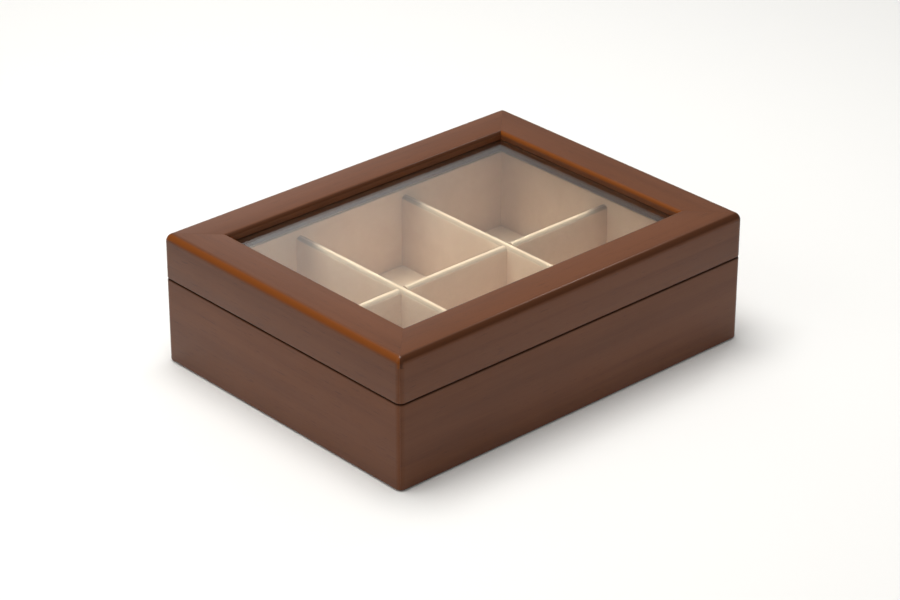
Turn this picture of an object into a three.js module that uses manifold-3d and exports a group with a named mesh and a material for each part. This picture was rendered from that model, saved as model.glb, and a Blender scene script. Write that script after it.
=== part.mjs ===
// Glazed wooden organizer box for six pairs of glasses.
// Millimetres, +Z up. +X runs along the long side, the front faces -Y and the hinges are at the back, +Y.
// The origin is the middle of the underside, on the surface that the box stands on.
import * as THREE from 'three';
import { mergeVertices } from 'three/addons/utils/BufferGeometryUtils.js';
import Module from 'manifold-3d';

const wasm = await Module();
wasm.setup();

// Driving dimensions of the case
const LENGTH = 350;
const WIDTH = 268;
const HEIGHT = 108;
const RIM_Z = 70.4; // top edge of the base walls
const LID_Z = 71; // bottom edge of the lid
const CORNER_R = 5; // rounding of the upright corners
const CORNER_STEPS = 3;
const MITRE_GAP = 0.04; // each mitred end stands back this far from the 45 degree plane
const CLEARANCE = 0.3; // between pieces that are fitted into each other
const EDGE_STEPS = 2; // facets of a small eased edge
const CUT_OVERSHOOT = 1; // a cutter runs this far past the face it opens
const STRAIGHT_SPREAD = 1; // spacing of the end points on paths that have no rounded corner
const MERGE_TOLERANCE = 1e-4;
const SAME_POINT = 1e-6;

// Base walls and bottom
const BASE_WALL = 11;
const BASE_EDGE_R = 1.2;
const FELT_THICK = 0.8;
const FELT_INSET = 5;
const RABBET_INSET = 6; // how far in the bottom panel's rabbet starts
const RABBET_TOP = 5.8;
const PANEL_TOP = 5.6;
const PANEL_GAP = 0.2; // round the bottom panel, in its rabbet

// Lined inside
const LINER_THICK = 3.4;
const LINER_BOTTOM = 5.9;
const LINER_TOP = 76;
const LINER_ROUND = 1.5;
const FLOOR_TOP = 9;
const DIVIDER_THICK = 7;
const DIVIDER_BOTTOM = 9.3;
const DIVIDER_TOP = 70;
const DIVIDER_LAP_Z = 40; // the half-lap slots meet at this height
const ROUND_STEPS = 6;
const COLUMNS = 3; // compartments along the long side

// Lid
const LID_WALL = 10.5;
const FRAME_WIDTH = 35.5; // width of the frame round the window
const FRAME_UNDERSIDE = 90;
const LIP_UNDERSIDE = 101.5; // the glass lies up against the lip
const GLASS_INSET = 28.5;
const GLASS_THICK = 2.5;
const BEAD_BOTTOM = 89.4;
const BEAD_TOP_CHAMFER = 0.6;
const BEAD_BOTTOM_CHAMFER = 1;
const LID_OUTER_R = 6.4;
const LID_INNER_R = 4;
const LID_INNER_STEPS = 4;
const LID_EDGE_R = 1.2;

// Hinges
const HINGE_OFFSET = 100; // from the middle to each hinge
const LEAF_LENGTH = 40;
const LEAF_DEPTH = 9;
const LEAF_THICK = 1.2;
const LEAF_OVERHANG = 0.1; // behind the back face
const LEAF_ROOT = 1; // the knuckles' webs start this far inside the back face
const MORTISE_GAP = 0.15;
const PIN_Y = 2.6; // how far the pin stands behind the back face
const PIN_Z = 70.7;
const PIN_R = 1;
const PIN_CLEARANCE = 0.05;
const PIN_LENGTH = 41;
const PIN_HEAD_R = 1.6;
const PIN_HEAD_FLAT_R = 1.2;
const PIN_HEAD_EDGE = 0.2;
const PIN_END_GAP = 0.15; // between a pin head and the end knuckle
const KNUCKLE_R = 2.2;
const KNUCKLE_SIDES = 20;
const MIDDLE_KNUCKLE = 15;
const KNUCKLE_GAP = 0.25;
const STOP_REACH = 5.5; // the stop fins reach this far from the pin
const STOP_THICK = 1;
const STOP_ROOT = 0.5; // the fins start this far out from the pin's surface
const STOP_ANGLE = Math.PI / 3; // up and down from the level, so they meet just past 95 degrees
const SCREW_OFFSET = 13;
const SCREW_INSET = 5.5;
const SCREW_HEAD_R = 2.1;
const SCREW_SHANK_R = 1;
const SCREW_HEAD_DEPTH = 1;
const SCREW_LENGTH = 8;
const SCREW_SIDES = 14;
const SCREW_TIP_LENGTH = 1.5;
const SCREW_TIP_SHARE = 0.3; // radius of the blunt tip, as a share of the shank's
const SCREW_SINK = 0.05; // how far the head lies below the leaf's face
const LEAF_HOLE_GAP = 0.12;
const WOOD_HOLE_GAP = 0.15;

const organizer = new THREE.Group();

const finishes = {
  lacqueredWood: new THREE.MeshStandardMaterial({ color: 0x6b432f, roughness: 0.38, metalness: 0 }),
  plywood: new THREE.MeshStandardMaterial({ color: 0x9a7a55, roughness: 0.8, metalness: 0 }),
  suede: new THREE.MeshStandardMaterial({ color: 0xd2b294, roughness: 0.95, metalness: 0 }),
  felt: new THREE.MeshStandardMaterial({ color: 0x3d2a20, roughness: 1, metalness: 0 }),
  glass: new THREE.MeshStandardMaterial({ color: 0xe6efec, roughness: 0.05, metalness: 0 }),
  brass: new THREE.MeshStandardMaterial({ color: 0xb8924a, roughness: 0.3, metalness: 1 }),
};

function addNode(name, geometry, material, place = {}) {
  const mesh = new THREE.Mesh(geometry, material);
  mesh.name = name;
  mesh.position.set(place.x ?? 0, place.y ?? 0, place.z ?? 0);
  mesh.rotation.z = place.turn ?? 0;
  organizer.add(mesh);
}

// ---- Solids: joining and cutting ----

function toSolid(geometry) {
  const bare = geometry.clone();
  bare.deleteAttribute('normal');
  bare.deleteAttribute('uv');
  const merged = mergeVertices(bare, MERGE_TOLERANCE);
  const corners = Array.from(merged.index.array);
  const triangles = [];
  for (let i = 0; i < corners.length; i += 3) {
    const [a, b, c] = corners.slice(i, i + 3);
    if (a !== b && b !== c && c !== a) triangles.push(a, b, c);
  }
  return new wasm.Manifold(new wasm.Mesh({
    numProp: 3,
    vertProperties: new Float32Array(merged.attributes.position.array),
    triVerts: new Uint32Array(triangles),
  }));
}

function toGeometry(solid) {
  const mesh = solid.getMesh();
  const geometry = new THREE.BufferGeometry();
  geometry.setAttribute('position', new THREE.BufferAttribute(mesh.vertProperties, 3));
  geometry.setIndex(new THREE.BufferAttribute(mesh.triVerts, 1));
  geometry.computeVertexNormals();
  return geometry;
}

function join(geometries) {
  return toGeometry(geometries.map(toSolid).reduce((whole, part) => whole.add(part)));
}

function cut(geometry, cutters) {
  return toGeometry(cutters.map(toSolid).reduce((rest, cutter) => rest.subtract(cutter), toSolid(geometry)));
}

// ---- Simple forms ----

function block(x0, x1, y0, y1, z0, z1) {
  const geometry = new THREE.BoxGeometry(x1 - x0, y1 - y0, z1 - z0);
  return geometry.translate((x0 + x1) / 2, (y0 + y1) / 2, (z0 + z1) / 2);
}

// A rod along X.
function rod(radius, x0, x1, y, z) {
  const geometry = new THREE.CylinderGeometry(radius, radius, x1 - x0, KNUCKLE_SIDES);
  return geometry.rotateZ(Math.PI / 2).translate((x0 + x1) / 2, y, z);
}

// An arc of a quarter circle, as [distance inward, height] points.
function quarter(centreIn, centreZ, radius, startAngle, steps) {
  const points = [];
  for (let i = 0; i <= steps; i += 1) {
    const angle = startAngle - (i / steps) * (Math.PI / 2);
    points.push([centreIn + radius * Math.cos(angle), centreZ + radius * Math.sin(angle)]);
  }
  return points;
}

// One mitred side of a rectangular frame, swept from corner to corner. The profile is a list of
// [distance inward, height] points, clockwise from the bottom of the outer face. The outer face lies on
// local y = 0, the side runs from x = 0 to x = length, and y points into the box. Where a profile point
// is nearer the face than the corner radius, its path turns through half of the rounded corner.
function mitredSide(profile, length, cornerRadius = CORNER_R) {
  const pathOf = ([inward]) => {
    const radius = Math.max(cornerRadius - inward, 0);
    const centre = Math.max(cornerRadius, inward);
    const half = [];
    for (let k = 0; k <= CORNER_STEPS; k += 1) {
      const angle = Math.PI / 4 + (k / CORNER_STEPS) * (Math.PI / 4);
      const along = radius > 0 ? -radius * Math.cos(angle) : (k / CORNER_STEPS) * STRAIGHT_SPREAD;
      half.push([centre + along + MITRE_GAP, centre - radius * Math.sin(angle)]);
    }
    const mirrored = half.map(([x, y]) => [length - x, y]).reverse();
    return half.concat(mirrored);
  };
  const positions = [];
  const steps = 2 * (CORNER_STEPS + 1);
  for (const point of profile) {
    for (const [x, y] of pathOf(point)) positions.push(x, y, point[1]);
  }
  const index = [];
  const at = (i, k) => (i % profile.length) * steps + k;
  for (let i = 0; i < profile.length; i += 1) {
    for (let k = 0; k < steps - 1; k += 1) {
      index.push(at(i, k), at(i, k + 1), at(i + 1, k));
      index.push(at(i + 1, k), at(i, k + 1), at(i + 1, k + 1));
    }
  }
  const outline = profile.map(([inward, z]) => new THREE.Vector2(inward, z));
  for (const [a, b, c] of THREE.ShapeUtils.triangulateShape(outline, [])) {
    index.push(at(a, 0), at(c, 0), at(b, 0));
    index.push(at(a, steps - 1), at(b, steps - 1), at(c, steps - 1));
  }
  const geometry = new THREE.BufferGeometry();
  geometry.setAttribute('position', new THREE.BufferAttribute(new Float32Array(positions), 3));
  geometry.setIndex(index);
  geometry.computeVertexNormals();
  return geometry;
}

// Where the four sides of a frame go, all turned from the front one.
const sides = [
  { name: 'front', length: LENGTH, x: -LENGTH / 2, y: -WIDTH / 2, turn: 0 },
  { name: 'right', length: WIDTH, x: LENGTH / 2, y: -WIDTH / 2, turn: Math.PI / 2 },
  { name: 'back', length: LENGTH, x: LENGTH / 2, y: WIDTH / 2, turn: Math.PI },
  { name: 'left', length: WIDTH, x: -LENGTH / 2, y: WIDTH / 2, turn: -Math.PI / 2 },
];

// ---- Profiles ----

const LEFT = Math.PI; // angle of a quarter that starts on the outer face and turns over the top
const TOP = Math.PI / 2;
const BOTTOM = -Math.PI / 2;

const baseProfile = [
  ...quarter(BASE_EDGE_R, FELT_THICK + BASE_EDGE_R, BASE_EDGE_R, BOTTOM, EDGE_STEPS),
  ...quarter(BASE_EDGE_R, RIM_Z - BASE_EDGE_R, BASE_EDGE_R, LEFT, EDGE_STEPS),
  [BASE_WALL, RIM_Z],
  [BASE_WALL, RABBET_TOP],
  [RABBET_INSET, RABBET_TOP],
  [RABBET_INSET, FELT_THICK],
];

const lidProfile = [
  ...quarter(LID_EDGE_R, LID_Z + LID_EDGE_R, LID_EDGE_R, BOTTOM, EDGE_STEPS),
  ...quarter(LID_OUTER_R, HEIGHT - LID_OUTER_R, LID_OUTER_R, LEFT, ROUND_STEPS),
  ...quarter(FRAME_WIDTH - LID_INNER_R, HEIGHT - LID_INNER_R, LID_INNER_R, TOP, LID_INNER_STEPS),
  [FRAME_WIDTH, LIP_UNDERSIDE],
  [GLASS_INSET - CLEARANCE, LIP_UNDERSIDE],
  [GLASS_INSET - CLEARANCE, FRAME_UNDERSIDE],
  [LID_WALL, FRAME_UNDERSIDE],
  [LID_WALL, LID_Z],
];

const beadProfile = [
  [GLASS_INSET, BEAD_BOTTOM],
  [GLASS_INSET, LIP_UNDERSIDE - GLASS_THICK],
  [FRAME_WIDTH - BEAD_TOP_CHAMFER, LIP_UNDERSIDE - GLASS_THICK],
  [FRAME_WIDTH, LIP_UNDERSIDE - GLASS_THICK - BEAD_TOP_CHAMFER],
  [FRAME_WIDTH, BEAD_BOTTOM + BEAD_BOTTOM_CHAMFER],
  [FRAME_WIDTH - BEAD_BOTTOM_CHAMFER, BEAD_BOTTOM],
];

// ---- Hinge hardware, about a middle on the back face of the case ----

// A screw with a flush countersunk head. Its head is at z = 0 and its tip points down.
function screwForm(extra = 0) {
  const head = SCREW_HEAD_R + extra;
  const shank = SCREW_SHANK_R + extra;
  const outline = [
    [0, -SCREW_LENGTH - extra],
    [shank * SCREW_TIP_SHARE, -SCREW_LENGTH - extra],
    [shank, -SCREW_LENGTH + SCREW_TIP_LENGTH],
    [shank, -SCREW_HEAD_DEPTH - extra],
    [head, -extra],
    [head, extra],
    [0, extra],
  ].filter(([r, z], i, all) => i === 0 || r !== all[i - 1][0] || z !== all[i - 1][1]);
  const points = outline.map(([r, z]) => new THREE.Vector2(r, z));
  return new THREE.LatheGeometry(points, SCREW_SIDES).rotateX(Math.PI / 2);
}

// side = 1 turns the screw point down into the base, side = -1 turns it up into the lid.
function placedScrew(side, x, headZ, extra = 0) {
  const form = screwForm(extra);
  if (side < 0) form.rotateX(Math.PI);
  return form.translate(x, -SCREW_INSET, headZ);
}

const headZ = { base: RIM_Z - SCREW_SINK, lid: LID_Z + SCREW_SINK };
const screwSide = { base: 1, lid: -1 };
const half = LEAF_LENGTH / 2;
const middleHalf = MIDDLE_KNUCKLE / 2;
const outerStart = middleHalf + KNUCKLE_GAP;

// The fin that stops the lid: a plate that stands out from the pin's axis at an angle.
function stopFin(x0, x1, innerR, angle) {
  const fin = block(x0, x1, innerR, STOP_REACH, -STOP_THICK / 2, STOP_THICK / 2);
  return fin.rotateX(angle).translate(0, PIN_Y, PIN_Z);
}

function leafBody(part) {
  const thickFrom = part === 'base' ? RIM_Z - LEAF_THICK : LID_Z;
  const thickTo = thickFrom + LEAF_THICK;
  const spans = part === 'base'
    ? [[-half, -outerStart], [outerStart, half]]
    : [[-middleHalf, middleHalf]];
  const pieces = [block(-half, half, -LEAF_DEPTH, LEAF_OVERHANG, thickFrom, thickTo)];
  for (const [x0, x1] of spans) {
    pieces.push(block(x0, x1, -LEAF_ROOT, PIN_Y, thickFrom, thickTo));
    pieces.push(rod(KNUCKLE_R, x0, x1, PIN_Y, PIN_Z));
  }
  if (part === 'base') {
    pieces.push(stopFin(-half, half, KNUCKLE_R + CLEARANCE, -STOP_ANGLE));
    for (const [x0, x1] of spans) pieces.push(stopFin(x0, x1, PIN_R + STOP_ROOT, -STOP_ANGLE));
  } else {
    pieces.push(stopFin(-middleHalf, middleHalf, PIN_R + STOP_ROOT, STOP_ANGLE));
  }
  const bore = rod(PIN_R + PIN_CLEARANCE, -half - CUT_OVERSHOOT, half + CUT_OVERSHOOT, PIN_Y, PIN_Z);
  const holes = [-SCREW_OFFSET, SCREW_OFFSET].map(
    (x) => placedScrew(screwSide[part], x, headZ[part], LEAF_HOLE_GAP),
  );
  return cut(join(pieces), [bore, ...holes]);
}

// The pin has a shallow domed head at each end, too wide to pass the knuckles.
function pinForm() {
  const end = PIN_LENGTH / 2;
  const headInner = half + PIN_END_GAP;
  const outline = [
    [0, -end],
    [PIN_HEAD_FLAT_R, -end],
    [PIN_HEAD_R, -end + PIN_HEAD_EDGE],
    [PIN_HEAD_R, -headInner],
    [PIN_R, -headInner],
    [PIN_R, headInner],
    [PIN_HEAD_R, headInner],
    [PIN_HEAD_R, end - PIN_HEAD_EDGE],
    [PIN_HEAD_FLAT_R, end],
    [0, end],
  ];
  const points = outline.map(([r, z]) => new THREE.Vector2(r, z));
  return new THREE.LatheGeometry(points, KNUCKLE_SIDES).rotateZ(-Math.PI / 2).translate(0, PIN_Y, PIN_Z);
}

// What the hinges take out of a back board, in the board's own frame: mortises and screw holes.
function hingeCutters(part) {
  const z0 = part === 'base' ? RIM_Z - LEAF_THICK - MORTISE_GAP : LID_Z - CUT_OVERSHOOT;
  const z1 = part === 'base' ? RIM_Z + CUT_OVERSHOOT : LID_Z + LEAF_THICK + MORTISE_GAP;
  const cutters = [];
  for (const hingeX of [LENGTH / 2 - HINGE_OFFSET, LENGTH / 2 + HINGE_OFFSET]) {
    const reach = half + MORTISE_GAP;
    const deep = LEAF_DEPTH + MORTISE_GAP;
    cutters.push(block(hingeX - reach, hingeX + reach, -CUT_OVERSHOOT, deep, z0, z1));
    for (const x of [-SCREW_OFFSET, SCREW_OFFSET]) {
      const hole = placedScrew(screwSide[part], x, headZ[part], WOOD_HOLE_GAP);
      cutters.push(hole.rotateZ(Math.PI).translate(hingeX, 0, 0));
    }
  }
  return cutters;
}

// ---- Base ----

for (const side of sides) {
  const board = mitredSide(baseProfile, side.length);
  const shaped = side.name === 'back' ? cut(board, hingeCutters('base')) : board;
  addNode(`base_panel_${side.name}`, shaped, finishes.lacqueredWood, side);
}

function insetBlock(inset, z0, z1) {
  return block(-LENGTH / 2 + inset, LENGTH / 2 - inset, -WIDTH / 2 + inset, WIDTH / 2 - inset, z0, z1);
}

addNode('bottom_panel', insetBlock(RABBET_INSET + PANEL_GAP, FELT_THICK, PANEL_TOP), finishes.plywood);
addNode('underside_felt', insetBlock(FELT_INSET, 0, FELT_THICK), finishes.felt);

const linerOuter = BASE_WALL + CLEARANCE;
const linerInner = linerOuter + LINER_THICK;
const lining = linerInner + CLEARANCE; // inset of what is fitted between the liners

addNode('floor_pad', insetBlock(lining, LINER_BOTTOM, FLOOR_TOP), finishes.suede);

// A board on edge with a rounded top, standing on y = 0 to thick, running along X.
function roundedBoard(x0, x1, thick, z0, z1, radius) {
  const outline = [
    [0, z0],
    ...quarter(radius, z1 - radius, radius, LEFT, ROUND_STEPS),
    ...quarter(thick - radius, z1 - radius, radius, TOP, ROUND_STEPS),
    [thick, z0],
  ].filter(([y, z], i, all) => i === 0 || Math.hypot(y - all[i - 1][0], z - all[i - 1][1]) > SAME_POINT);
  const shape = new THREE.Shape(outline.map(([y, z]) => new THREE.Vector2(y, z)));
  const geometry = new THREE.ExtrudeGeometry(shape, { depth: x1 - x0, bevelEnabled: false });
  const basis = new THREE.Matrix4().set(0, 0, 1, x0, 1, 0, 0, 0, 0, 1, 0, 0, 0, 0, 0, 1);
  return geometry.applyMatrix4(basis);
}

for (const side of sides) {
  const runsLong = side.length === LENGTH;
  const end = runsLong ? linerOuter : lining;
  const board = roundedBoard(end, side.length - end, LINER_THICK, LINER_BOTTOM, LINER_TOP, LINER_ROUND);
  addNode(`liner_${side.name}`, board.translate(0, linerOuter, 0), finishes.suede, side);
}

// ---- Dividers, halved into each other at the crossings ----

const insideLength = LENGTH - 2 * linerInner;
const cellLength = (insideLength - (COLUMNS - 1) * DIVIDER_THICK) / COLUMNS;
const crossX = (cellLength + DIVIDER_THICK) / 2;
const slotHalf = DIVIDER_THICK / 2 + CLEARANCE;

function dividerBoard(span) {
  const radius = DIVIDER_THICK / 2;
  const board = roundedBoard(-span / 2, span / 2, DIVIDER_THICK, DIVIDER_BOTTOM, DIVIDER_TOP, radius);
  return board.translate(0, -radius, 0);
}

function slotAt(x, z0, z1) {
  return block(x - slotHalf, x + slotHalf, -DIVIDER_THICK, DIVIDER_THICK, z0, z1);
}

const longSlots = [-crossX, crossX].map((x) => slotAt(x, DIVIDER_LAP_Z, DIVIDER_TOP + CUT_OVERSHOOT));
const crossSlot = slotAt(0, DIVIDER_BOTTOM - CUT_OVERSHOOT, DIVIDER_LAP_Z + CLEARANCE);
const crossDivider = cut(dividerBoard(WIDTH - 2 * lining), [crossSlot]);
addNode('divider_long', cut(dividerBoard(LENGTH - 2 * lining), longSlots), finishes.suede);
addNode('divider_cross_left', crossDivider, finishes.suede, { x: -crossX, turn: Math.PI / 2 });
addNode('divider_cross_right', crossDivider, finishes.suede, { x: crossX, turn: Math.PI / 2 });

// ---- Lid ----

for (const side of sides) {
  const rail = mitredSide(lidProfile, side.length);
  const shaped = side.name === 'back' ? cut(rail, hingeCutters('lid')) : rail;
  addNode(`lid_rail_${side.name}`, shaped, finishes.lacqueredWood, side);
  addNode(`glass_bead_${side.name}`, mitredSide(beadProfile, side.length, 0), finishes.lacqueredWood, side);
}

addNode('lid_glass', insetBlock(GLASS_INSET, LIP_UNDERSIDE - GLASS_THICK, LIP_UNDERSIDE), finishes.glass);

// ---- Hinges ----

for (const [name, x] of [['left', -HINGE_OFFSET], ['right', HINGE_OFFSET]]) {
  const place = { x, y: WIDTH / 2 };
  for (const part of ['base', 'lid']) {
    addNode(`hinge_${name}_${part}_leaf`, leafBody(part), finishes.brass, place);
    for (const [end, offset] of [['outer', -SCREW_OFFSET], ['inner', SCREW_OFFSET]]) {
      const along = name === 'left' ? offset : -offset;
      const screw = placedScrew(screwSide[part], along, headZ[part]);
      addNode(`hinge_${name}_${part}_screw_${end}`, screw, finishes.brass, place);
    }
  }
  addNode(`hinge_${name}_pin`, pinForm(), finishes.brass, place);
}

export default organizer;
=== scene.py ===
"""A glazed wooden organizer box for glasses: the looks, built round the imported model. Metres, +Z up."""

import math

import bpy
from mathutils import Matrix, Vector, noise


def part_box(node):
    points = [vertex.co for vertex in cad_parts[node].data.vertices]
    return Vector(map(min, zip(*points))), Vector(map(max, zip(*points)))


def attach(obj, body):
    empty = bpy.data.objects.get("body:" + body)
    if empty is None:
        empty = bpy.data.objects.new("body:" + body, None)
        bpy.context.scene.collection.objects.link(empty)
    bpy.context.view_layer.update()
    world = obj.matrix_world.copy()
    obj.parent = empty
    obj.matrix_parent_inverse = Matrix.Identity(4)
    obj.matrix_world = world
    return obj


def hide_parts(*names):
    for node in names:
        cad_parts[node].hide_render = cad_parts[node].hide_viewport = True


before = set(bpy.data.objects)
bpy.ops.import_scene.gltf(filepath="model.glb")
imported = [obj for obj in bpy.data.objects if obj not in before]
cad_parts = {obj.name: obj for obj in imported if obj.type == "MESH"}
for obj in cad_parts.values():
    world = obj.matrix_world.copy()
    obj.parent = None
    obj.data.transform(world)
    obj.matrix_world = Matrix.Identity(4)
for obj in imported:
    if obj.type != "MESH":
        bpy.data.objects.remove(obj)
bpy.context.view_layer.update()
MM = 0.001

# ---- Places, from the frame ----

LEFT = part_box("base_panel_left")[0].x
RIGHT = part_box("base_panel_right")[1].x
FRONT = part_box("base_panel_front")[0].y
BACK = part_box("base_panel_back")[1].y
BASE_Z, RIM_Z = (corner.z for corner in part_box("base_panel_front"))
LID_Z, TOP_Z = (corner.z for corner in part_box("lid_rail_front"))
LENGTH = RIGHT - LEFT
WIDTH = BACK - FRONT
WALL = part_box("base_panel_front")[1].y - FRONT
FRAME_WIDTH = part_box("lid_rail_front")[1].y - FRONT
LIP_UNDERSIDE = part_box("lid_glass")[1].z
BEAD_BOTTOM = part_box("glass_bead_front")[0].z
BEAD_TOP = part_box("glass_bead_front")[1].z
GLASS_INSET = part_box("lid_glass")[0].y - FRONT
LINER_BOTTOM, LINER_TOP = (corner.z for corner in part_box("liner_front"))
LINER_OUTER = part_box("liner_front")[0].y - FRONT
LINER_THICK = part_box("liner_front")[1].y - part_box("liner_front")[0].y
FLOOR_LO, FLOOR_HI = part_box("floor_pad")
DIVIDER_LO, DIVIDER_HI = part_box("divider_long")
DIVIDER_THICK = DIVIDER_HI.y - DIVIDER_LO.y
CROSS_X = (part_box("divider_cross_right")[0].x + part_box("divider_cross_right")[1].x) / 2
LAP_Z = 40 * MM
CASE_CENTRE = Vector(((LEFT + RIGHT) / 2, (FRONT + BACK) / 2, 0))

# The same edge roundings as the model's, drawn with more steps
CORNER_R = 5 * MM
EDGE_R = 1.2 * MM
LID_OUTER_R = 6.4 * MM
LID_INNER_R = 4 * MM
RABBET_INSET = 6 * MM
RABBET_TOP = 5.8 * MM
LID_WALL = 10.5 * MM
FRAME_UNDERSIDE = 90 * MM
MITRE_GAP = 0.04 * MM
ARC_STEPS = 10
CORNER_STEPS = 6
SHARP_ANGLE = math.radians(32)
GLASS_GAP = 0.3 * MM
BEAD_CHAMFER = 0.6 * MM
LEAF_DEPTH = 9 * MM
LEAF_THICK = 1.2 * MM
MORTISE_ROOM = 0.15 * MM
SAME_POINT = 1e-6

# Where the wood's colour changes: the edge amber, partly a painted highlight, is faint this far below the
# top, and the painted shade along the seam fades out
AMBER_DROP = 8 * MM
FAINT_AMBER = 0.12
SEAM_CORE = 0.5 * MM
SEAM_FADE = 1.6 * MM


# ---- Node materials ----


class Material:
    """A node material with a Principled shader, and short calls to add to it."""

    def __init__(self, name, slot, color, roughness, sockets=None):
        self.slot = slot
        self.data = bpy.data.materials.new(name)
        self.data.use_nodes = True
        self.data.diffuse_color = (*color, 1)
        self.tree = self.data.node_tree
        self.shader = self.tree.nodes["Principled BSDF"]
        self.shader.inputs["Base Color"].default_value = (*color, 1)
        self.shader.inputs["Roughness"].default_value = roughness
        for socket, value in (sockets or {}).items():
            self.shader.inputs[socket].default_value = value
        self.coords = self.tree.nodes.new("ShaderNodeTexCoord")

    def node(self, kind, **settings):
        made = self.tree.nodes.new(kind)
        for key, value in settings.items():
            setattr(made, key, value)
        return made

    def link(self, source, target):
        self.tree.links.new(source, target)

    def noise(self, stretch, scale=1.0, detail=4.0, roughness=0.55, distortion=0.0):
        """Noise in the piece's own space, stretched by a scale along each axis."""
        mapping = self.node("ShaderNodeMapping")
        mapping.inputs["Scale"].default_value = stretch
        self.link(self.coords.outputs["Object"], mapping.inputs["Vector"])
        made = self.node("ShaderNodeTexNoise")
        made.inputs["Scale"].default_value = scale
        made.inputs["Detail"].default_value = detail
        made.inputs["Roughness"].default_value = roughness
        made.inputs["Distortion"].default_value = distortion
        self.link(mapping.outputs["Vector"], made.inputs["Vector"])
        return made.outputs["Fac"]

    def spread(self, source, low, high, to_low=0.0, to_high=1.0):
        """Stretches the part of source between low and high over another range, clamped."""
        made = self.node("ShaderNodeMapRange", clamp=True, interpolation_type="SMOOTHSTEP")
        self.link(source, made.inputs["Value"])
        for socket, value in zip(("From Min", "From Max", "To Min", "To Max"), (low, high, to_low, to_high)):
            made.inputs[socket].default_value = value
        return made.outputs["Result"]

    def math(self, operation, first, second):
        made = self.node("ShaderNodeMath", operation=operation)
        for socket, value in zip(made.inputs, (first, second)):
            if isinstance(value, (int, float)):
                socket.default_value = value
            else:
                self.link(value, socket)
        return made.outputs["Value"]

    def mix(self, factor, first, second):
        """A colour between first and second; each is a colour or a socket."""
        made = self.node("ShaderNodeMix", data_type="RGBA")
        self.link(factor, made.inputs["Factor"])
        for socket, value in ((made.inputs[6], first), (made.inputs[7], second)):
            if isinstance(value, tuple):
                socket.default_value = (*value, 1)
            else:
                self.link(value, socket)
        return made.outputs[2]

    def bump(self, height, distance, strength=1.0, under=None):
        made = self.node("ShaderNodeBump")
        made.inputs["Strength"].default_value = strength
        made.inputs["Distance"].default_value = distance
        self.link(height, made.inputs["Height"])
        if under is not None:
            self.link(under, made.inputs["Normal"])
        return made.outputs["Normal"]

    def use(self, color=None, roughness=None, normal=None):
        for socket, source in (("Base Color", color), ("Roughness", roughness), ("Normal", normal)):
            if source is not None:
                self.link(source, self.shader.inputs[socket])


def edge_mask(material, faint=1.0, above=0.0):
    """1 on rounded edges and 0 on flat faces, from how far the normal is from every axis. Below the height
    given as above, the mask is only as strong as faint."""
    parts = material.node("ShaderNodeSeparateXYZ")
    material.link(material.coords.outputs["Normal"], parts.inputs["Vector"])
    sizes = [material.math("ABSOLUTE", parts.outputs[axis], 0.0) for axis in "XYZ"]
    largest = material.math("MAXIMUM", material.math("MAXIMUM", sizes[0], sizes[1]), sizes[2])
    rounded = material.spread(largest, 0.997, 0.86)
    if faint == 1.0:
        return rounded
    height = material.node("ShaderNodeSeparateXYZ")
    material.link(material.coords.outputs["Object"], height.inputs["Vector"])
    share = material.spread(height.outputs["Z"], above - MM, above, faint, 1.0)
    return material.math("MULTIPLY", rounded, share)


def lacquered_wood(name, grain_axis, amber, depth=1.0):
    """Red-brown stained wood under satin lacquer. The stain is thin and amber on edges worn by sanding, and
    the amber colour passed in is also a painted warm highlight, as from light on the left.
    A band along the seam between lid and base is darkened as painted shade. A depth below 1 darkens the whole
    wood as painted shade, for pieces that sit in shade."""
    lacquer = {"Coat Weight": 0.3, "Coat Roughness": 0.17, "Coat IOR": 1.4, "Specular IOR Level": 0.12}
    material = Material(name, "lacquered_wood", (0.130, 0.046, 0.018), 0.42, lacquer)

    # Darkens the stain colours by the last argument, which below 1 is painted shade.
    def shade(*color):
        return tuple(part * depth for part in color)

    def along(length_scale, cross_scale):
        stretch = [cross_scale] * 3
        stretch[grain_axis] = length_scale
        return tuple(stretch)

    clouds = material.noise(along(5, 16), detail=3, distortion=0.4)
    bands = material.noise(along(2.2, 85), detail=5, roughness=0.6, distortion=0.7)
    fibres = material.noise(along(14, 620), detail=6, roughness=0.7)
    pores = material.noise(along(70, 1500), detail=2, roughness=0.5)
    stain = material.mix(material.spread(clouds, 0.3, 0.7), shade(0.112, 0.0365, 0.0125),
                         shade(0.134, 0.0450, 0.0165))
    banded = material.mix(material.spread(bands, 0.42, 0.72, 0.0, 0.45), stain, shade(0.078, 0.024, 0.008))
    streaked = material.mix(material.spread(fibres, 0.5, 0.78, 0.0, 0.4), banded, shade(0.165, 0.062, 0.025))
    pored = material.mix(material.spread(pores, 0.62, 0.72, 0.0, 0.6), streaked, (0.045, 0.015, 0.007))
    # Amber on rounded edges: partly thin stain, partly a painted warm highlight of light from the left.
    amber_edges_and_highlight = material.mix(edge_mask(material, FAINT_AMBER, TOP_Z - AMBER_DROP), pored, amber)
    # Painted shade: a band along the seam between lid and base is darkened towards near-black brown, where
    # shade falls in the gap.
    place = material.node("ShaderNodeSeparateXYZ")
    material.link(material.coords.outputs["Object"], place.inputs["Vector"])
    from_seam = material.math("SUBTRACT", place.outputs["Z"], (RIM_Z + LID_Z) / 2)
    seam_painted_shade = material.spread(material.math("ABSOLUTE", from_seam, 0.0), SEAM_FADE, SEAM_CORE, 0.0, 0.7)
    with_seam_shade = material.mix(seam_painted_shade, amber_edges_and_highlight, (0.034, 0.011, 0.003))
    roughness = material.spread(fibres, 0.3, 0.8, 0.36, 0.48)
    grain_bump = material.bump(fibres, 0.03 * MM, 0.5)
    pore_bump = material.bump(material.spread(pores, 0.72, 0.62), 0.03 * MM, 0.35, under=grain_bump)
    material.use(color=with_seam_shade, roughness=roughness, normal=pore_bump)
    return material


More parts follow.
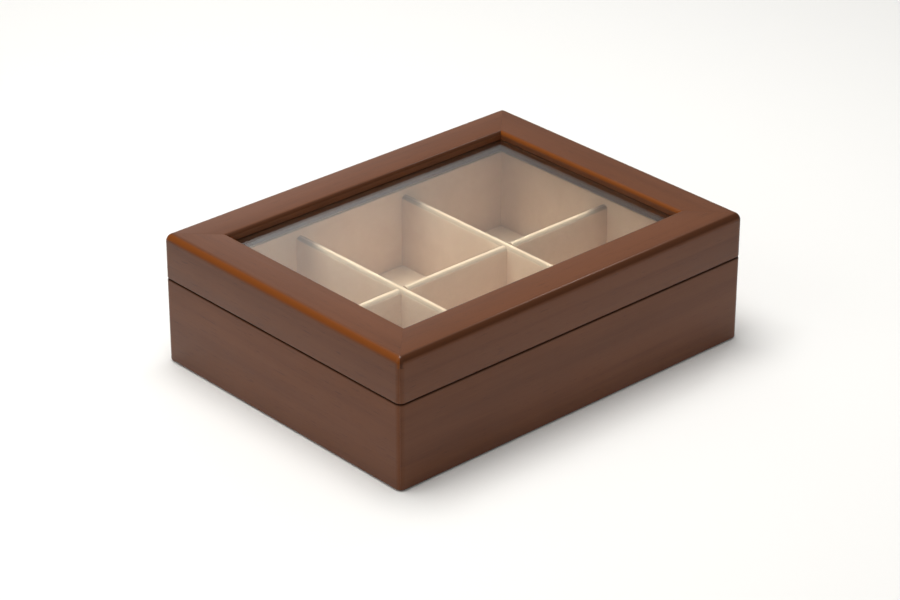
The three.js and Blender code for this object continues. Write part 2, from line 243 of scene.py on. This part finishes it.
def suede():
    """Short-napped beige suede cloth: soft patches where the nap lies differently, and a fine tooth."""
    material = Material("beige_suede", "suede", (0.62, 0.46, 0.33), 0.95,
                        {"Sheen Weight": 0.35, "Sheen Roughness": 0.5, "Specular IOR Level": 0.2})
    patches = material.noise((1, 1, 1), scale=38, detail=4, roughness=0.6, distortion=0.6)
    flecks = material.noise((1, 1, 1), scale=900, detail=3, roughness=0.6)
    nap = material.noise((1, 1, 1), scale=2600, detail=2, roughness=0.6)
    base = material.mix(material.spread(patches, 0.35, 0.68), (0.700, 0.498, 0.352), (0.745, 0.545, 0.395))
    flecked = material.mix(material.spread(flecks, 0.42, 0.75, 0.0, 0.45), base, (0.620, 0.425, 0.290))
    # Painted shade: rounded edges and tops are darker than the faces, toning down the overhead light that
    # falls on them.
    edge_painted_shade = material.mix(edge_mask(material), flecked, (0.450, 0.322, 0.228))
    pile = material.bump(patches, 0.25 * MM, 0.4)
    material.use(color=edge_painted_shade, normal=material.bump(nap, 0.12 * MM, 0.6, under=pile))
    return material


def felt():
    """Pressed brown felt with matted fibres."""
    material = Material("brown_felt", "felt", (0.045, 0.025, 0.017), 1.0,
                        {"Sheen Weight": 0.4, "Sheen Roughness": 0.6, "Specular IOR Level": 0.1})
    mats = material.noise((1, 1, 1), scale=140, detail=6, roughness=0.7, distortion=1.2)
    hairs = material.noise((1, 1, 1), scale=1800, detail=3, roughness=0.7, distortion=2.0)
    color = material.mix(material.spread(mats, 0.3, 0.7), (0.036, 0.019, 0.013), (0.062, 0.036, 0.025))
    haired = material.mix(material.spread(hairs, 0.55, 0.75, 0.0, 0.6), color, (0.100, 0.064, 0.046))
    rough = material.bump(mats, 0.2 * MM, 0.5)
    material.use(color=haired, normal=material.bump(hairs, 0.15 * MM, 0.7, under=rough))
    return material


def plywood():
    material = Material("bare_plywood", "plywood", (0.42, 0.28, 0.16), 0.75)
    grain = material.noise((4, 160, 160), detail=6, roughness=0.65, distortion=0.5)
    tone = material.noise((3, 12, 12), detail=2)
    light = material.mix(material.spread(tone, 0.3, 0.7), (0.40, 0.265, 0.150), (0.47, 0.325, 0.195))
    grained = material.mix(material.spread(grain, 0.5, 0.75, 0.0, 0.6), light, (0.27, 0.165, 0.085))
    material.use(color=grained, normal=material.bump(grain, 0.05 * MM, 0.5))
    return material


def brass():
    """Polished brass with handling marks and fine brushing."""
    material = Material("polished_brass", "brass", (0.72, 0.49, 0.20), 0.24, {"Metallic": 1.0})
    smudges = material.noise((1, 1, 1), scale=120, detail=5, roughness=0.65, distortion=0.8)
    brushing = material.noise((60, 2600, 2600), detail=3)
    tarnish = material.mix(material.spread(smudges, 0.45, 0.72), (0.75, 0.52, 0.22), (0.60, 0.38, 0.15))
    roughness = material.spread(smudges, 0.3, 0.75, 0.18, 0.36)
    material.use(color=tarnish, roughness=roughness, normal=material.bump(brushing, 0.01 * MM, 0.4))
    return material


def clear_glass():
    """Float glass. Rays from lamps pass straight through it, so what lies under it is lit."""
    material = Material("window_glass", "glass", (0.93, 0.97, 0.95), 0.0,
                        {"Transmission Weight": 1.0, "IOR": 1.5})
    haze = material.noise((1, 1, 1), scale=14, detail=3)
    material.use(roughness=material.spread(haze, 0.5, 0.8, 0.0, 0.012))
    passing = material.node("ShaderNodeBsdfTransparent")
    passing.inputs["Color"].default_value = (0.90, 0.93, 0.91, 1)
    rays = material.node("ShaderNodeLightPath")
    choice = material.node("ShaderNodeMixShader")
    material.link(rays.outputs["Is Shadow Ray"], choice.inputs[0])
    material.link(material.shader.outputs["BSDF"], choice.inputs[1])
    material.link(passing.outputs["BSDF"], choice.inputs[2])
    output = material.tree.nodes["Material Output"]
    material.link(choice.outputs["Shader"], output.inputs["Surface"])
    return material


# The long and short sides differ in grain direction and in their edge amber. That amber is partly a painted
# highlight, painted brighter on the short sides and dimmer on the long sides.
WOOD_ALONG_X = lacquered_wood("lacquered_wood_long_side", 0, (0.055, 0.0145, 0.0018))
WOOD_ALONG_Y = lacquered_wood("lacquered_wood_short_side", 1, (0.165, 0.0405, 0.0012))
# Painted shade: the glass beads, tucked under the frame lip, use the same lacquered wood darkened to 0.4 of
# its colour.
SHADED_BEAD_ALONG_X = lacquered_wood("shaded_wood_long_bead", 0, (0.045, 0.012, 0.0018), 0.4)
SHADED_BEAD_ALONG_Y = lacquered_wood("shaded_wood_short_bead", 1, (0.045, 0.012, 0.0018), 0.4)
SUEDE = suede()
FELT = felt()
PLYWOOD = plywood()
BRASS = brass()
GLASS = clear_glass()


# ---- Making pieces ----


def finish_cad_node(name, material, bevel, segments=3):
    """Gives a CAD node its material, and eases its edges with a modifier."""
    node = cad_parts[name]
    node.data.materials.clear()
    node.data.materials.append(material.data)
    ease = node.modifiers.new("ease", "BEVEL")
    ease.width = bevel
    ease.segments = segments
    ease.limit_method = "ANGLE"
    ease.angle_limit = SHARP_ANGLE
    return node


def piece(name, vertices, faces, material, body, *replaced):
    """A new mesh piece that rides on a body and stands for CAD nodes."""
    mesh = bpy.data.meshes.new(name)
    mesh.from_pydata(vertices, [], faces)
    mesh.validate()
    made = bpy.data.objects.new(name, mesh)
    bpy.context.scene.collection.objects.link(made)
    mesh.materials.append(material.data)
    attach(made, body)
    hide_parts(*replaced)
    smooth(made)
    return made


def smooth(made):
    for face in made.data.polygons:
        face.use_smooth = True
    made.data.set_sharp_from_angle(angle=SHARP_ANGLE)


def cut_box(made, low, high):
    """Cuts an upright box out of a piece."""
    corners = [(x, y, z) for z in (low[2], high[2]) for x, y in
               ((low[0], low[1]), (high[0], low[1]), (high[0], high[1]), (low[0], high[1]))]
    faces = [(3, 2, 1, 0), (4, 5, 6, 7), (0, 1, 5, 4), (1, 2, 6, 5), (2, 3, 7, 6), (3, 0, 4, 7)]
    mesh = bpy.data.meshes.new("cutter")
    mesh.from_pydata(corners, [], faces)
    cutter = bpy.data.objects.new("cutter", mesh)
    bpy.context.scene.collection.objects.link(cutter)
    apply_cut(made, cutter)


def apply_cut(made, cutter):
    step = made.modifiers.new("cut", "BOOLEAN")
    step.object = cutter
    step.operation = "DIFFERENCE"
    step.solver = "EXACT"
    bpy.context.view_layer.update()
    shaped = bpy.data.meshes.new_from_object(made.evaluated_get(bpy.context.evaluated_depsgraph_get()))
    made.modifiers.clear()
    made.data = shaped
    bpy.data.objects.remove(cutter)
    smooth(made)


def quarter(centre_in, centre_z, radius, start, steps=ARC_STEPS):
    """A quarter circle as (distance inward, height) points, turning clockwise from start."""
    angles = [start - math.pi / 2 * k / steps for k in range(steps + 1)]
    return [(centre_in + radius * math.cos(a), centre_z + radius * math.sin(a)) for a in angles]


def mitred_side(profile, length, corner_r):
    """One mitred side of a frame, from corner to corner. Its outer face lies on y = 0."""

    def path(inward):
        radius = max(corner_r - inward, 0)
        centre = max(corner_r, inward)
        start = []
        for k in range(CORNER_STEPS + 1):
            angle = math.pi / 4 * (1 + k / CORNER_STEPS)
            along = -radius * math.cos(angle) if radius > 0 else MM * k / CORNER_STEPS
            start.append((centre + along + MITRE_GAP, centre - radius * math.sin(angle)))
        return start + [(length - x, y) for x, y in reversed(start)]

    steps = 2 * (CORNER_STEPS + 1)
    vertices = [(x, y, z) for inward, z in profile for x, y in path(inward)]
    count = len(profile)
    faces = []
    for i in range(count):
        row, following = i * steps, (i + 1) % count * steps
        for k in range(steps - 1):
            faces.append((row + k, row + k + 1, following + k + 1, following + k))
    faces.append([i * steps for i in reversed(range(count))])
    faces.append([i * steps + steps - 1 for i in range(count)])
    return vertices, faces


# ---- The wooden case ----

SIDES = (
    ("front", LENGTH, (LEFT, FRONT), 0, WOOD_ALONG_X, SHADED_BEAD_ALONG_X),
    ("right", WIDTH, (RIGHT, FRONT), 90, WOOD_ALONG_Y, SHADED_BEAD_ALONG_Y),
    ("back", LENGTH, (RIGHT, BACK), 180, WOOD_ALONG_X, SHADED_BEAD_ALONG_X),
    ("left", WIDTH, (LEFT, BACK), -90, WOOD_ALONG_Y, SHADED_BEAD_ALONG_Y),
)
OUTER_LEFT = math.pi
STRAIGHT_UP = math.pi / 2
STRAIGHT_DOWN = -math.pi / 2

BASE_PROFILE = [
    *quarter(EDGE_R, BASE_Z + EDGE_R, EDGE_R, STRAIGHT_DOWN, 5),
    *quarter(EDGE_R, RIM_Z - EDGE_R, EDGE_R, OUTER_LEFT, 5),
    *quarter(WALL - EDGE_R / 2, RIM_Z - EDGE_R / 2, EDGE_R / 2, STRAIGHT_UP, 4),
    (WALL, RABBET_TOP),
    (RABBET_INSET, RABBET_TOP),
    (RABBET_INSET, BASE_Z),
]
LID_PROFILE = [
    *quarter(EDGE_R, LID_Z + EDGE_R, EDGE_R, STRAIGHT_DOWN, 5),
    *quarter(LID_OUTER_R, TOP_Z - LID_OUTER_R, LID_OUTER_R, OUTER_LEFT),
    *quarter(FRAME_WIDTH - LID_INNER_R, TOP_Z - LID_INNER_R, LID_INNER_R, STRAIGHT_UP, 8),
    (FRAME_WIDTH, LIP_UNDERSIDE),
    (GLASS_INSET - GLASS_GAP, LIP_UNDERSIDE),
    (GLASS_INSET - GLASS_GAP, FRAME_UNDERSIDE),
    (LID_WALL, FRAME_UNDERSIDE),
    (LID_WALL, LID_Z),
]
BEAD_PROFILE = [
    (GLASS_INSET, BEAD_BOTTOM),
    (GLASS_INSET, BEAD_TOP),
    (FRAME_WIDTH - BEAD_CHAMFER, BEAD_TOP),
    (FRAME_WIDTH, BEAD_TOP - BEAD_CHAMFER),
    *quarter(FRAME_WIDTH - MM, BEAD_BOTTOM + MM, MM, 0.0, 5),
]


def frame_side(name, profile, side, corner_r, body, replaced):
    _, length, origin, turn, wood, bead = side
    material = bead if profile is BEAD_PROFILE else wood
    vertices, faces = mitred_side(profile, length, corner_r)
    to_case = Matrix.Translation((*origin, 0)) @ Matrix.Rotation(math.radians(turn), 4, "Z")
    return piece(name, [to_case @ Vector(v) for v in vertices], faces, material, body, replaced)


def mortise_for(side_piece, leaf):
    """Cuts the shallow mortise that a hinge leaf lies in."""
    low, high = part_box(leaf)
    overshoot = 2 * MM
    in_lid = "lid" in leaf
    z0 = LID_Z - overshoot if in_lid else RIM_Z - LEAF_THICK - MORTISE_ROOM
    z1 = LID_Z + LEAF_THICK + MORTISE_ROOM if in_lid else RIM_Z + overshoot
    near = (low.x - MORTISE_ROOM, BACK - LEAF_DEPTH - MORTISE_ROOM, z0)
    cut_box(side_piece, near, (high.x + MORTISE_ROOM, BACK + MM, z1))


for side in SIDES:
    place = side[0]
    panel = frame_side(f"wood_base_{place}", BASE_PROFILE, side, CORNER_R, "base", f"base_panel_{place}")
    rail = frame_side(f"wood_lid_{place}", LID_PROFILE, side, CORNER_R, "lid", f"lid_rail_{place}")
    frame_side(f"wood_bead_{place}", BEAD_PROFILE, side, 0, "lid", f"glass_bead_{place}")
    if place == "back":
        for hinge in ("left", "right"):
            mortise_for(panel, f"hinge_{hinge}_base_leaf")
            mortise_for(rail, f"hinge_{hinge}_lid_leaf")

finish_cad_node("bottom_panel", PLYWOOD, 0.2 * MM)
underside = finish_cad_node("underside_felt", FELT, 0.25 * MM)
finish_cad_node("lid_glass", GLASS, 0.3 * MM, 2)


# ---- The suede lining ----

CLOTH_STEP = 2.5 * MM
BOARD_RISE_STEPS = 14
BOARD_TOP_STEPS = 7
END_EASE = 3 * MM  # the padding thins out towards a board's ends
CROWN_REACH = 12 * MM  # and towards its foot and top
DIMPLE_SIZE, DIMPLE_DEPTH = 17 * MM, 0.16 * MM
SAG_SIZE, SAG_DEPTH = 23 * MM, 0.18 * MM
WALL_BULGE = 0.05 * MM
WALL_GAP = 0.05 * MM
WALL_ROUND = 1.5 * MM
DIVIDER_SINK = 0.2 * MM  # a divider's foot presses this far into the floor
DIVIDER_EXTRA = 0.4 * MM  # added to a divider's length, so that its ends press into the walls
PRESS_DEPTH, PRESS_REACH, PRESS_LIMIT = 0.55 * MM, 3.5 * MM, 0.9 * MM
WAVE_SIZE, WAVE_DEPTH = 26 * MM, 0.12 * MM


def wobble(point, size, depth):
    """A small, smooth unevenness of the cloth at a point, the same on every run."""
    return depth * noise.noise(Vector(point) / size)


def wrapped_board(name, start, end, thick, z0, z1, round_r, place, replaced, bulge=0.15 * MM):
    """A suede-wrapped board on edge, running along local x, with y from 0 to thick and a soft top."""
    flat_top = z1 - round_r
    left = [(0.0, z0 + (flat_top - z0) * k / BOARD_RISE_STEPS) for k in range(BOARD_RISE_STEPS)]
    top = quarter(round_r, flat_top, round_r, OUTER_LEFT, BOARD_TOP_STEPS)
    far_top = quarter(thick - round_r, flat_top, round_r, STRAIGHT_UP, BOARD_TOP_STEPS)
    top += far_top if thick - 2 * round_r > SAME_POINT else far_top[1:]
    right = [(thick, z) for _, z in reversed(left)]
    outline = left + top + right
    columns = max(2, round((end - start) / CLOTH_STEP))
    vertices = []
    for column in range(columns + 1):
        x = start + (end - start) * column / columns
        ends = min(1.0, min(x - start, end - x) / END_EASE)
        for y, z in outline:
            inward = 1 if y < thick / 2 else -1
            crown = min(1.0, (z - z0) / CROWN_REACH) * min(1.0, max(0.0, z1 - z) / CROWN_REACH)
            shift = (bulge * crown + wobble((x, y * 3, z), DIMPLE_SIZE, DIMPLE_DEPTH) * crown) * ends
            sag = wobble((x, 0.3, thick), SAG_SIZE, SAG_DEPTH) * (z - z0) / (z1 - z0)
            vertices.append(place @ Vector((x, y - inward * shift, z + min(sag, 0.0))))
    count = len(outline)
    faces = []
    for column in range(columns):
        for i in range(count):
            j = (i + 1) % count
            a, b = column * count, (column + 1) * count
            faces.append((a + i, a + j, b + j, b + i))
    faces.append(tuple(range(count - 1, -1, -1)))
    faces.append(tuple(columns * count + i for i in range(count)))
    return piece(name, vertices, faces, SUEDE, "base", replaced)


for place, length, origin, turn, *_ in SIDES:
    inset = LINER_OUTER if length == LENGTH else LINER_OUTER + LINER_THICK + WALL_GAP
    spot = Matrix.Translation((*origin, 0)) @ Matrix.Rotation(math.radians(turn), 4, "Z")
    spot = spot @ Matrix.Translation((0, LINER_OUTER, 0))
    board = wrapped_board(f"suede_wall_{place}", inset, length - inset, LINER_THICK, LINER_BOTTOM,
                          LINER_TOP, WALL_ROUND, spot, f"liner_{place}", bulge=WALL_BULGE)


def divider(name, middle, turn, span, replaced):
    spot = Matrix.Translation(middle) @ Matrix.Rotation(math.radians(turn), 4, "Z")
    spot = spot @ Matrix.Translation((0, -DIVIDER_THICK / 2, 0))
    return wrapped_board(name, -span / 2, span / 2, DIVIDER_THICK, FLOOR_HI.z - DIVIDER_SINK, DIVIDER_HI.z,
                         DIVIDER_THICK / 2, spot, replaced)


SLOT = DIVIDER_THICK / 2 + 0.25 * MM
SLOT_REACH = 5 * MM
long_divider = divider("suede_divider_long", (CASE_CENTRE.x, CASE_CENTRE.y, 0), 0,
                       DIVIDER_HI.x - DIVIDER_LO.x + DIVIDER_EXTRA, "divider_long")
cross_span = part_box("divider_cross_left")[1].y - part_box("divider_cross_left")[0].y + DIVIDER_EXTRA
for place, x in (("left", -CROSS_X), ("right", CROSS_X)):
    cross = divider(f"suede_divider_{place}", (x, CASE_CENTRE.y, 0), 90, cross_span, f"divider_cross_{place}")
    cut_box(cross, (x - SLOT_REACH, -SLOT, 0), (x + SLOT_REACH, SLOT, LAP_Z))
    cut_box(long_divider, (x - SLOT, -SLOT_REACH, LAP_Z), (x + SLOT, SLOT_REACH, TOP_Z))


def floor_height(x, y):
    """The padded floor is pressed down where the walls and dividers stand on it."""
    gaps = [x - FLOOR_LO.x, FLOOR_HI.x - x, y - FLOOR_LO.y, FLOOR_HI.y - y]
    gaps += [max(0.0, abs(y) - DIVIDER_THICK / 2)]
    gaps += [max(0.0, abs(abs(x) - CROSS_X) - DIVIDER_THICK / 2)]
    pressed = sum(PRESS_DEPTH * math.exp(-gap / PRESS_REACH) for gap in gaps)
    return FLOOR_HI.z - min(pressed, PRESS_LIMIT) + wobble((x, y, 0.0), WAVE_SIZE, WAVE_DEPTH)


def padded_floor():
    columns = round((FLOOR_HI.x - FLOOR_LO.x) / CLOTH_STEP)
    rows = round((FLOOR_HI.y - FLOOR_LO.y) / CLOTH_STEP)
    across = [FLOOR_LO.x + (FLOOR_HI.x - FLOOR_LO.x) * i / columns for i in range(columns + 1)]
    deep = [FLOOR_LO.y + (FLOOR_HI.y - FLOOR_LO.y) * j / rows for j in range(rows + 1)]
    vertices = [(x, y, floor_height(x, y)) for y in deep for x in across]
    under = len(vertices)
    vertices += [(x, y, FLOOR_LO.z) for y in (deep[0], deep[-1]) for x in (across[0], across[-1])]
    row = columns + 1
    faces = []
    for j in range(rows):
        for i in range(columns):
            a = j * row + i
            faces.append((a, a + 1, a + row + 1, a + row))
    last = rows * row
    faces.append([under, under + 1] + list(range(columns, -1, -1)))
    faces.append([under + 3, under + 2] + [last + i for i in range(columns + 1)])
    faces.append([under + 2, under] + [j * row for j in range(rows + 1)])
    faces.append([under + 1, under + 3] + [j * row + columns for j in range(rows, -1, -1)])
    faces.append((under, under + 2, under + 3, under + 1))
    return piece("suede_floor", vertices, faces, SUEDE, "base", "floor_pad")


padded_floor()


# ---- Hinges ----

SCREW_SEGMENTS = 28


def screw(node):
    """A countersunk brass screw with a cross slot, standing for a plainer one. Its outline is a list of
    (share of the head's radius, depth in millimetres) points."""
    low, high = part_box(node)
    up = "base" in node
    head_r = (high.x - low.x) / 2
    centre = Vector(((low.x + high.x) / 2, (low.y + high.y) / 2, high.z if up else low.z))
    down = -1 if up else 1
    outline = [(0.0, 0.05), (0.75, 0.03), (0.93, 0.0), (1.0, 0.12),
               (0.5, 1.0), (0.5, 6.4), (0.15, 7.8), (0.0, 8.0)]
    vertices = []
    for share, depth in outline[1:-1]:
        for k in range(SCREW_SEGMENTS):
            turn = 2 * math.pi * k / SCREW_SEGMENTS
            side = Vector((math.cos(turn), math.sin(turn), 0)) * head_r * share
            vertices.append(centre + side + Vector((0, 0, down * depth * MM)))
    rings = len(outline) - 2
    faces = []
    for ring in range(rings - 1):
        for k in range(SCREW_SEGMENTS):
            a, b = ring * SCREW_SEGMENTS, (ring + 1) * SCREW_SEGMENTS
            n = (k + 1) % SCREW_SEGMENTS
            quad = (a + k, a + n, b + n, b + k)
            faces.append(quad if down > 0 else quad[::-1])
    cap = list(range(SCREW_SEGMENTS))
    tip = [(rings - 1) * SCREW_SEGMENTS + k for k in cap]
    faces.append(cap if down < 0 else cap[::-1])
    faces.append(tip[::-1] if down < 0 else tip)
    made = piece(f"brass_{node}", vertices, faces, BRASS, "base" if up else "lid", node)
    slot_half, slot_wide, slot_depth = 1.35 * MM, 0.28 * MM, 0.5 * MM
    for wide, deep in ((slot_half, slot_wide), (slot_wide, slot_half)):
        ends = sorted((centre.z - down * MM, centre.z + down * slot_depth))
        near = (centre.x - wide, centre.y - deep, ends[0])
        cut_box(made, near, (centre.x + wide, centre.y + deep, ends[1]))


for hinge in ("left", "right"):
    for part in ("base", "lid"):
        finish_cad_node(f"hinge_{hinge}_{part}_leaf", BRASS, 0.15 * MM, 2)
        for end in ("outer", "inner"):
            screw(f"hinge_{hinge}_{part}_screw_{end}")
    finish_cad_node(f"hinge_{hinge}_pin", BRASS, 0.1 * MM, 2)


# ---- Studio ----


def floor_material():
    return Material("studio_floor", "", (0.86, 0.86, 0.85), 0.9, {"Specular IOR Level": 0.1}).data


def square_mesh(name, half):
    """A flat square about its middle."""
    mesh = bpy.data.meshes.new(name)
    corners = [(-half, -half, 0), (half, -half, 0), (half, half, 0), (-half, half, 0)]
    mesh.from_pydata(corners, [], [(0, 1, 2, 3)])
    return mesh


def towards(azimuth, elevation):
    """The direction at an azimuth from +X and an elevation, in degrees."""
    a, e = math.radians(azimuth), math.radians(elevation)
    return Vector((math.cos(a) * math.cos(e), math.sin(a) * math.cos(e), math.sin(e)))


def studio():
    """The pale floor and an even, nearly white room."""
    mesh = square_mesh("studio_floor", 6.0)
    mesh.materials.append(floor_material())
    ground = bpy.data.objects.new("studio_floor", mesh)
    bpy.context.scene.collection.objects.link(ground)
    world = bpy.data.worlds.new("soft_white_room")
    world.use_nodes = True
    background = world.node_tree.nodes["Background"]
    background.inputs["Color"].default_value = (1.0, 0.99, 0.975, 1)
    background.inputs["Strength"].default_value = 0.36
    bpy.context.scene.world = world


def soft_light(name, azimuth, elevation, distance, size, watts, color=(1, 1, 1)):
    """A square softbox that faces the box, placed by azimuth from +X and elevation in degrees."""
    direction = towards(azimuth, elevation)
    data = bpy.data.lights.new(name, "AREA")
    data.energy = watts
    data.size = size
    data.color = color
    lamp = bpy.data.objects.new(name, data)
    lamp.location = CASE_CENTRE + direction * distance
    lamp.rotation_euler = (-direction).to_track_quat("-Z", "Y").to_euler()
    bpy.context.scene.collection.objects.link(lamp)


def glow_panel(name, azimuth, elevation, distance, size, strength):
    """A backdrop panel that glows softly from its middle, for a sheen with no hard edge on the lid."""
    direction = towards(azimuth, elevation)
    half = size / 2
    mesh = square_mesh(name, half)
    panel = bpy.data.objects.new(name, mesh)
    panel.location = CASE_CENTRE + direction * distance
    panel.rotation_euler = direction.to_track_quat("Z", "Y").to_euler()
    panel.visible_camera = False
    bpy.context.scene.collection.objects.link(panel)
    glow = bpy.data.materials.new(name)
    glow.use_nodes = True
    tree = glow.node_tree
    tree.nodes.clear()
    coords = tree.nodes.new("ShaderNodeTexCoord")
    distance_out = tree.nodes.new("ShaderNodeVectorMath")
    distance_out.operation = "LENGTH"
    falloff = tree.nodes.new("ShaderNodeMapRange")
    falloff.interpolation_type = "SMOOTHERSTEP"
    for socket, value in (("From Min", half), ("From Max", 0.0), ("To Min", 0.0), ("To Max", strength)):
        falloff.inputs[socket].default_value = value
    light = tree.nodes.new("ShaderNodeEmission")
    clear = tree.nodes.new("ShaderNodeBsdfTransparent")
    both = tree.nodes.new("ShaderNodeAddShader")
    output = tree.nodes.new("ShaderNodeOutputMaterial")
    tree.links.new(coords.outputs["Object"], distance_out.inputs[0])
    tree.links.new(distance_out.outputs["Value"], falloff.inputs["Value"])
    tree.links.new(falloff.outputs["Result"], light.inputs["Strength"])
    tree.links.new(light.outputs["Emission"], both.inputs[0])
    tree.links.new(clear.outputs["BSDF"], both.inputs[1])
    tree.links.new(both.outputs["Shader"], output.inputs["Surface"])
    mesh.materials.append(glow)


def camera():
    """A long lens that looks at the middle of the case over its near corner."""
    azimuth, elevation, roll = (math.radians(angle) for angle in (47.49, 27.22, 0.18))
    distance = 2.3206
    forward = Vector((math.cos(elevation) * math.cos(azimuth), math.cos(elevation) * math.sin(azimuth),
                      -math.sin(elevation)))
    data = bpy.data.cameras.new("camera")
    data.sensor_width = 36.0
    data.lens = 121.4
    data.shift_x = -0.0058
    data.shift_y = -0.0155
    data.clip_start = 0.05
    data.clip_end = 50.0
    made = bpy.data.objects.new("camera", data)
    made.location = CASE_CENTRE + Vector((0, 0, TOP_Z / 2)) - forward * distance
    turned = forward.to_track_quat("-Z", "Y") @ Matrix.Rotation(roll, 4, "Z").to_quaternion()
    made.rotation_euler = turned.to_euler()
    bpy.context.scene.collection.objects.link(made)
    bpy.context.scene.camera = made


studio()
soft_light("overhead", 120, 82, 1.7, 1.0, 26, (1.0, 0.985, 0.96))
soft_light("key_left", 172, 36, 1.6, 0.9, 3.4, (1.0, 0.97, 0.93))
soft_light("front_fill", -100, 30, 2.4, 1.6, 2.3)
soft_light("edge_glint", 18, 50, 2.0, 0.14, 1.6)
glow_panel("back_glow", 64, 24, 1.3, 1.2, 0.7)
camera()
bpy.context.scene.view_settings.view_transform = "Standard"
